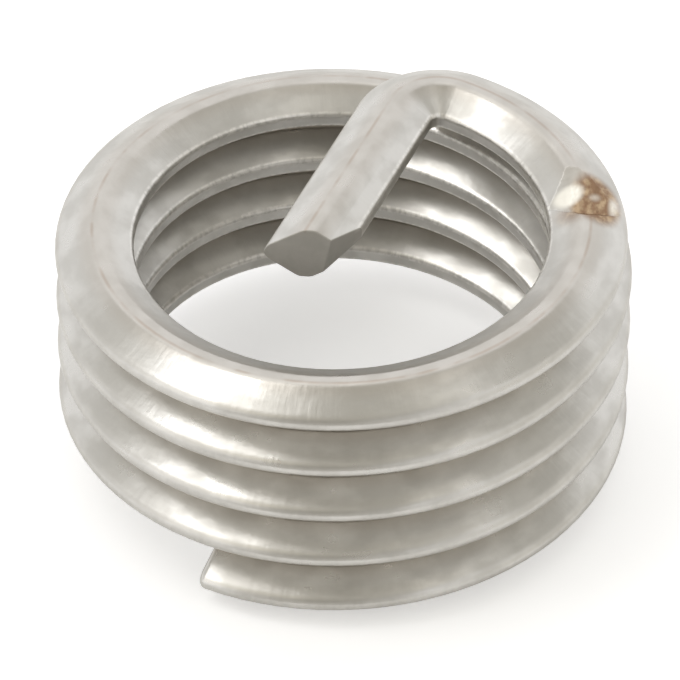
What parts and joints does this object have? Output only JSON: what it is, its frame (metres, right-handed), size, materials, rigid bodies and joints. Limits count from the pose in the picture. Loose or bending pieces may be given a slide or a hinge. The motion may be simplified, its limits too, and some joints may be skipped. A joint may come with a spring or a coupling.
{
  "type": "helical thread insert",
  "caption": "Coil of rolled diamond-section wire that lines a tapped hole with a screw thread, with a narrower tail, a driving tang across its top and a break-off notch.",
  "frame": {"origin": "on the bore's axis, at the level of the plate that the first coil stands on", "axes": "+Z along the bore's axis, from the plain end towards the driving tang; angles are in plan from +X, and the right-hand wire climbs anticlockwise"},
  "size_m": [0.0144, 0.0144, 0.0083],
  "materials": {
    "rolled_wire": "bright rolled stainless wire, satin along the wire, with a brown burnish in the notch"
  },
  "bodies": {
    "root": {"wire_coil": "rolled_wire"}
  },
  "joints": []
}
